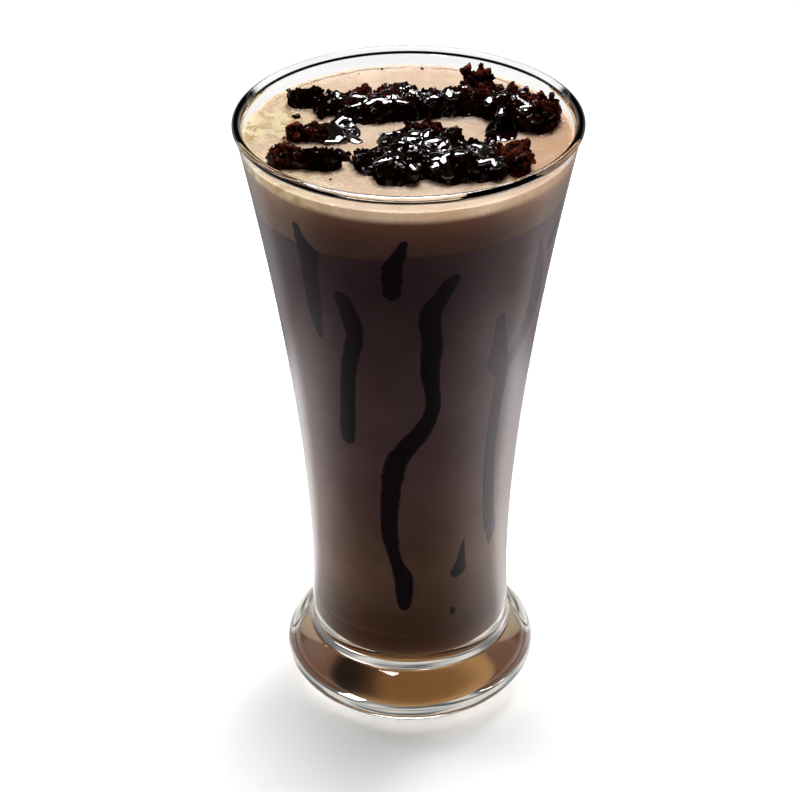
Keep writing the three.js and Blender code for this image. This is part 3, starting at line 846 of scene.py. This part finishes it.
class Look:
    """The node tree of a material or a world, with short calls for its nodes."""

    def __init__(self, owner):
        self.owner = owner
        owner.use_nodes = True
        self.tree = owner.node_tree
        self.tree.nodes.clear()

    def give(self, socket, value):
        if isinstance(value, bpy.types.NodeSocket):
            self.tree.links.new(value, socket)
        else:
            socket.default_value = value

    def add(self, kind, inputs=None, **settings):
        node = self.tree.nodes.new(kind)
        for setting, value in settings.items():
            setattr(node, setting, value)
        for socket, value in (inputs or {}).items():
            self.give(node.inputs[socket], value)
        return node

    def place(self):
        return self.add("ShaderNodeTexCoord").outputs["Object"]

    def parts(self, vector):
        return self.add("ShaderNodeSeparateXYZ", {"Vector": vector}).outputs

    def value(self, name):
        return self.add("ShaderNodeAttribute", attribute_name=name).outputs["Fac"]

    def noise(self, scale, detail=3, roughness=0.5):
        return self.add("ShaderNodeTexNoise", {
            "Vector": self.place(), "Scale": scale, "Detail": detail, "Roughness": roughness,
        }).outputs["Fac"]

    def cells(self, scale):
        return self.add("ShaderNodeTexVoronoi", {
            "Vector": self.place(), "Scale": scale,
        }).outputs["Distance"]

    def span(self, value, low, high, to_low=0, to_high=1):
        return self.add("ShaderNodeMapRange", {
            "Value": value, "From Min": low, "From Max": high,
            "To Min": to_low, "To Max": to_high,
        }, interpolation_type="SMOOTHSTEP").outputs["Result"]

    def math(self, operation, first, second):
        return self.add("ShaderNodeMath", {0: first, 1: second}, operation=operation).outputs[0]

    def blend(self, share, first, second):
        return self.add("ShaderNodeMix", {
            0: share, 6: first, 7: second,
        }, data_type="RGBA").outputs[2]

    def bump(self, height, distance):
        return self.add("ShaderNodeBump", {
            "Height": height, "Distance": distance * MM,
        }).outputs["Normal"]

    def mix(self, share, first, second):
        return self.add("ShaderNodeMixShader", {
            0: share, 1: first.outputs[0], 2: second.outputs[0],
        })

    def finish(self, shader, kind="Material", volume=None):
        output = self.add("ShaderNodeOutput" + kind, {"Surface": shader.outputs[0]})
        if volume:
            self.give(output.inputs["Volume"], volume.outputs[0])
        return self.owner


def material(name):
    return Look(bpy.data.materials.new(name))


def glass_material():
    look = material("clear_glass")
    shade = look.value("rim_shade")
    glass = look.add("ShaderNodeBsdfPrincipled", {
        "Base Color": look.blend(shade, (0.985, 0.99, 0.99, 1), (0, 0, 0, 1)),
        "Roughness": 0.0, "IOR": 1.5, "Transmission Weight": 1.0,
        "Specular Tint": look.blend(shade, (1, 1, 1, 1), (0, 0, 0, 1)),
    })
    open_to_lamps = look.add("ShaderNodeBsdfTransparent", {"Color": (0.86, 0.87, 0.88, 1)})
    path = look.add("ShaderNodeLightPath")
    depth = look.add("ShaderNodeVolumeAbsorption", {
        "Color": (0.86, 0.84, 0.80, 1), "Density": 45,
    })
    surface = look.mix(path.outputs["Is Shadow Ray"], glass, open_to_lamps)
    return look.finish(surface, volume=depth)


def milkshake_material():
    look = material("milkshake")
    cloud = look.span(look.noise(45, 4, 0.55), 0.35, 0.65)
    mauve = look.blend(cloud, srgb(147, 109, 110), srgb(161, 125, 126))
    coffee = look.blend(cloud, srgb(159, 118, 96), srgb(178, 138, 113))
    below = look.value("below_froth")
    colour = look.blend(look.span(below, 57, 100), mauve, coffee)
    colour = look.blend(look.span(below, 100, 120), colour, srgb(124, 86, 66))
    place = look.parts(look.place())
    # Painted shade under the froth, fading downward and weaker toward the right.
    shade_under_froth = look.math("MULTIPLY", look.span(below, 5, 50, 0.78, 0),
                            look.span(place["X"], 0.012, 0.03, 1, 0.5))
    colour = look.blend(shade_under_froth, colour, srgb(84, 56, 60))
    # The bowl's underside, which shows through the foot, is amber with painted shade at the left and
    # the right and painted light toward the back.
    across = look.math("ADD", place["X"], look.math("MULTIPLY", look.noise(90, 2), 0.006))
    amber = look.blend(look.span(place["Y"], 0.005, 0.012),
                       srgb(142, 100, 58), srgb(182, 140, 92))
    under = look.blend(look.span(across, -0.007, -0.001), srgb(40, 24, 14), amber)
    under = look.blend(look.span(place["X"], 0.016, 0.02), under, srgb(64, 42, 24))
    colour = look.blend(look.span(below, 125.5, 128), colour, under)
    return look.finish(look.add("ShaderNodeBsdfPrincipled", {
        "Base Color": colour, "Roughness": 0.5, "Specular IOR Level": 0.05,
        "Subsurface Weight": 0.15, "Subsurface Radius": (0.004, 0.002, 0.0015),
        "Subsurface Scale": 1.0, "Normal": look.bump(look.noise(900, 3), 0.05),
    }))


def froth_material():
    look = material("froth")
    cloud = look.span(look.noise(70, 5, 0.6), 0.35, 0.68)
    colour = look.blend(cloud, srgb(213, 179, 147), srgb(232, 207, 180))
    place = look.parts(look.place())
    yellow = look.math("MULTIPLY", look.span(place["X"], -0.012, -0.034),
                       look.span(look.noise(130, 4), 0.38, 0.55, 0.3, 1))
    mottled = look.blend(look.span(look.noise(330, 3), 0.44, 0.56),
                         srgb(182, 150, 94), srgb(236, 220, 170))
    colour = look.blend(yellow, colour, mottled)
    # Painted shade, tan-orange, toward the right of the froth.
    right_shade = look.math("MULTIPLY", look.span(place["X"], 0.018, 0.037), 0.75)
    colour = look.blend(right_shade, colour, srgb(178, 128, 84))
    bubble = look.span(look.cells(900), 0.05, 0.45)
    colour = look.blend(look.math("MULTIPLY", bubble, 0.22), colour, srgb(176, 136, 102))
    # Darker brown close to the brownie: syrup soaked into the froth, and painted shade where the
    # brownie sits.
    soak_and_shade = look.span(look.value("to_brownie"), 0.2, 1.6, 0.75, 0)
    colour = look.blend(soak_and_shade, colour, srgb(120, 84, 62))
    # A thin brown line beside the wall, at the back.
    from_wall = look.value("to_wall")
    tide = look.math("MULTIPLY", look.span(from_wall, 0.7, 0.95), look.span(from_wall, 1.35, 1.1))
    tide = look.math("MULTIPLY", tide, look.span(place["Y"], 0.018, 0.03))
    tide = look.math("MULTIPLY", tide, look.span(look.noise(120, 2), 0.3, 0.5, 0.3, 0.9))
    colour = look.blend(tide, colour, srgb(92, 56, 32))
    # Painted shade on the froth's side below its top edge: dark brown in the middle, lighter toward
    # the left and right.
    side = look.span(place["Z"], 0.1551, 0.1572, 1, 0)
    aside = look.span(look.math("MULTIPLY", place["X"], place["X"]), 0.0002, 0.0009)
    shaded_side_colour = look.blend(aside, srgb(104, 62, 43), srgb(156, 118, 94))
    colour = look.blend(side, colour, shaded_side_colour)
    return look.finish(look.add("ShaderNodeBsdfPrincipled", {
        "Base Color": colour, "Roughness": 0.45, "Specular IOR Level": 0.3,
        "Subsurface Weight": 0.2, "Subsurface Radius": (0.003, 0.002, 0.0012),
        "Subsurface Scale": 1.0,
        "Normal": look.bump(look.math("ADD", look.noise(600, 4), bubble), 0.12),
    }))


def bubble_material():
    look = material("froth_bubbles")
    colour = look.blend(look.noise(300, 2), srgb(222, 192, 150), srgb(244, 224, 190))
    return look.finish(look.add("ShaderNodeBsdfPrincipled", {
        "Base Color": colour, "Roughness": 0.18, "Subsurface Weight": 0.4,
        "Subsurface Radius": (0.002, 0.0014, 0.0009), "Subsurface Scale": 1.0,
    }))


def streak_material():
    look = material("syrup_streak")
    colour = look.blend(look.noise(300, 3), srgb(11, 2, 8), srgb(21, 7, 15))
    colour = look.blend(look.value("veil"), colour, srgb(152, 100, 118))
    return look.finish(look.add("ShaderNodeBsdfPrincipled", {
        "Base Color": colour, "Roughness": 0.35, "Specular IOR Level": 0.02,
    }))


def glaze_material():
    look = material("syrup_glaze")
    colour = look.blend(look.noise(400, 2), srgb(8, 3, 2), srgb(22, 8, 6))
    return look.finish(look.add("ShaderNodeBsdfPrincipled", {
        "Base Color": colour, "Roughness": 0.07, "Coat Weight": 1.0, "Coat Roughness": 0.04,
        "Normal": look.bump(look.noise(350, 2), 0.08),
    }))


def brownie_material():
    look = material("brownie")
    dry = look.math("MULTIPLY", look.value("dry"), look.span(look.noise(420, 4, 0.6), 0.36, 0.62))
    colour = look.blend(dry, srgb(10, 3, 2), srgb(132, 60, 42))
    wet = look.math("MULTIPLY", look.span(look.noise(500, 3), 0.55, 0.6),
                    look.span(dry, 0.1, 0.4, 1, 0))
    normal = look.bump(look.noise(1800, 4), 0.18)
    return look.finish(look.add("ShaderNodeBsdfPrincipled", {
        "Base Color": colour,
        "Roughness": look.span(dry, 0, 0.5, 0.5, 0.85),
        "Specular IOR Level": 0.0,
        "Coat Weight": look.math("MULTIPLY", wet, 0.5), "Coat Roughness": 0.12,
        "Coat Normal": normal,
        "Normal": normal,
    }))


# Surroundings

def seen_through(look):
    """1 for what is seen through the glass, also after a turn inside it, and 0 for the rest."""
    path = look.add("ShaderNodeLightPath")
    inside = look.math("MINIMUM", path.outputs["Transmission Depth"], 1)
    return look.math("MULTIPLY", inside, look.math("LESS_THAN", path.outputs["Diffuse Depth"], 0.5))


def bounced(look):
    """1 for light on its way to the object, 0 for what is seen directly or through glass."""
    path = look.add("ShaderNodeLightPath")
    turns = look.math("ADD", path.outputs["Diffuse Depth"], path.outputs["Glossy Depth"])
    outside = look.math("SUBTRACT", 1, seen_through(look))
    return look.math("MULTIPLY", look.math("MINIMUM", turns, 1), outside)


def level_length(look, across, along):
    """Length of a place or direction in plan."""
    return look.math("POWER", look.math(
        "ADD", look.math("MULTIPLY", across, across), look.math("MULTIPLY", along, along)), 0.5)


def room_light(look, across, along, mirror_share):
    """The room is white at the sides and the back, and dim in front of the glass."""
    reach = level_length(look, across, along)
    toward = look.math(
        "ADD",
        look.math("MULTIPLY", across, math.sin(DIM_SIDE)),
        look.math("MULTIPLY", along, -math.cos(DIM_SIDE)))
    front = look.math("DIVIDE", toward, look.math("MAXIMUM", reach, 0.001))
    lit = look.span(front, -0.2, 0.95, SIDE_LIGHT, FRONT_LIGHT)
    path = look.add("ShaderNodeLightPath")
    diffuse = look.math("MINIMUM", path.outputs["Diffuse Depth"], 1)
    glow = look.math("MULTIPLY", look.math("MULTIPLY", lit, lit), SIDE_GLOW)
    right = look.span(look.math("DIVIDE", across, look.math("MAXIMUM", reach, 0.001)),
                      -0.1, 0.3, 1, 1.2)
    mirrored = look.math("MULTIPLY", look.math("MULTIPLY", lit, mirror_share), right)
    mirrored = look.math("MULTIPLY", mirrored, look.span(front, -0.2, -0.5, 1, 1.65))
    mirrored = look.math("MULTIPLY", mirrored, look.span(front, -0.5, -0.98, 1, 0.4))
    lit = look.math("ADD", look.math("MULTIPLY", glow, diffuse),
                    look.math("MULTIPLY", mirrored, look.math("SUBTRACT", 1, diffuse)))
    share = bounced(look)
    direct = look.math("SUBTRACT", 1, share)
    return look.math("ADD", look.math("MULTIPLY", lit, share), direct)


def floor_material():
    look = material("pale_floor")
    place = look.parts(look.place())
    reach = level_length(look, place["X"], place["Y"])
    mirror_share = look.span(reach, 0.135, 0.175, 1, 0.35)
    strength = room_light(look, place["X"], place["Y"], mirror_share)
    lit = look.add("ShaderNodeBsdfDiffuse", {"Color": (1.8, 1.8, 1.8, 1)})
    white = look.add("ShaderNodeEmission", {"Color": (1, 1, 1, 1), "Strength": 1.1})
    seen = look.mix(look.span(reach, 0.14, 0.4), lit, white)
    by_foot = look.math("MULTIPLY", look.span(reach, 0.03, 0.055, 1, 0), seen_through(look))
    strength = look.math("ADD", look.math("MULTIPLY", by_foot, FOOT_LIGHT), look.math(
        "MULTIPLY", look.math("SUBTRACT", 1, by_foot), strength))
    around = look.add("ShaderNodeEmission", {
        "Color": look.blend(by_foot, (1, 1, 1, 1), (1, 0.78, 0.55, 1)), "Strength": strength,
    })
    path = look.add("ShaderNodeLightPath")
    return look.finish(look.mix(path.outputs["Is Camera Ray"], around, seen))


def make_floor():
    angle = np.linspace(0, 2 * np.pi, 64, endpoint=False)
    rim = np.stack([FLOOR_RADIUS * np.sin(angle), FLOOR_RADIUS * np.cos(angle),
                    np.full(len(angle), -FLOOR_DROP)], axis=1)
    floor = add_mesh("floor", rim, [tuple(range(len(angle)))[::-1]])
    floor.data.materials.append(floor_material())


def make_world():
    world = bpy.data.worlds.new("studio")
    bpy.context.scene.world = world
    look = Look(world)
    way = look.parts(look.add("ShaderNodeTexCoord").outputs["Generated"])
    strength = room_light(look, way["X"], way["Y"], 1)
    above = look.span(way["Z"], 0.06, 0.22, 1, 0.04)
    path = look.add("ShaderNodeLightPath")
    strength = look.math("MAXIMUM", look.math("MULTIPLY", strength, above),
                         look.math("MULTIPLY", path.outputs["Is Camera Ray"], 1.1))
    patch = look.span(look.noise(2.6, 1), 0.42, 0.58)
    turned_light = look.math("MULTIPLY", look.math("ADD", patch, 0.3), 0.85)
    strength = look.math("MAXIMUM", strength,
                         look.math("MULTIPLY", seen_through(look), turned_light))
    colour = look.blend(look.math("MULTIPLY", seen_through(look), look.math(
        "SUBTRACT", 1, patch)), (1, 1, 1, 1), (0.72, 0.79, 0.92, 1))
    look.finish(look.add("ShaderNodeBackground", {
        "Color": colour, "Strength": strength,
    }), "World")


def add_softbox(name, place, target, size, power):
    light = bpy.data.lights.new(name, "AREA")
    light.shape = "RECTANGLE"
    light.size, light.size_y = size
    light.energy = power
    thing = bpy.data.objects.new(name, light)
    bpy.context.collection.objects.link(thing)
    thing.location = place
    thing.rotation_mode = "QUATERNION"
    aim = Vector(target) - Vector(place)
    thing.rotation_quaternion = aim.to_track_quat("-Z", "Y")
    return thing


def add_glint(name, place, target, size, power):
    """A softbox that only gives highlights."""
    thing = add_softbox(name, place, target, size, power)
    thing.visible_diffuse = False
    thing.visible_transmission = False


def make_lights():
    add_softbox("overhead", (0.04, 0.12, 1.1), (0, 0, 0.1), (0.5, 0.5), 8.5)
    add_softbox("right_window", (0.35, 0.5, 0.75), (0, 0, 0.15), (0.2, 0.2), 1.2)
    add_softbox("left_window", (-0.5, 0.25, 0.6), (0, 0, 0.15), (0.14, 0.22), 0.6)
    add_glint("ceiling_glow", (-0.1, 0.1, 0.95), (0, 0, 0.1), (0.8, 0.55), 30)


def make_camera():
    ahead = Vector((0, math.cos(CAMERA_LIFT), -math.sin(CAMERA_LIFT)))
    place = Vector((0, 0, CAMERA_TARGET_HEIGHT)) - CAMERA_DISTANCE * ahead
    right = Vector((1, 0, 0))
    up = right.cross(ahead)
    ahead, right = (ahead * math.cos(CAMERA_YAW) + right * math.sin(CAMERA_YAW),
                    right * math.cos(CAMERA_YAW) - ahead * math.sin(CAMERA_YAW))
    right, up = (right * math.cos(CAMERA_ROLL) + up * math.sin(CAMERA_ROLL),
                 up * math.cos(CAMERA_ROLL) - right * math.sin(CAMERA_ROLL))
    data = bpy.data.cameras.new("camera")
    data.sensor_width = 36
    data.lens = LENS
    data.clip_start = 0.01
    data.clip_end = 60
    camera = bpy.data.objects.new("camera", data)
    bpy.context.collection.objects.link(camera)
    turn = Matrix((right, up, -ahead)).transposed().to_4x4()
    camera.matrix_world = Matrix.Translation(place * MM) @ turn
    bpy.context.scene.camera = camera


def make_all():
    stands_for(make_glass(), ["glass"], glass_material())
    stands_for(make_milkshake(), ["milkshake"], milkshake_material())
    brownie_look = brownie_material()
    brownies = []
    for index, (node, (growth, roughness)) in enumerate(BROWNIES.items()):
        brownies.append(stands_for(
            make_brownie(node, growth, roughness, 11 * index + 2), [node], brownie_look))
    froth = stands_for(make_froth(brownies), ["froth"], froth_material())
    streak_look = streak_material()
    for thing, node in make_runs():
        stands_for(thing, [node], streak_look)
    stands_for(make_crumbs(brownies, froth), [], brownie_look)
    stands_for(make_glaze(brownies, froth), [], glaze_material())
    stands_for(make_bubbles(froth), [], bubble_material())


make_all()
make_floor()
make_world()
make_lights()
make_camera()

scene = bpy.context.scene
scene.view_settings.view_transform = "Standard"
scene.cycles.max_bounces = 16
scene.cycles.transmission_bounces = 14
scene.cycles.transparent_max_bounces = 16
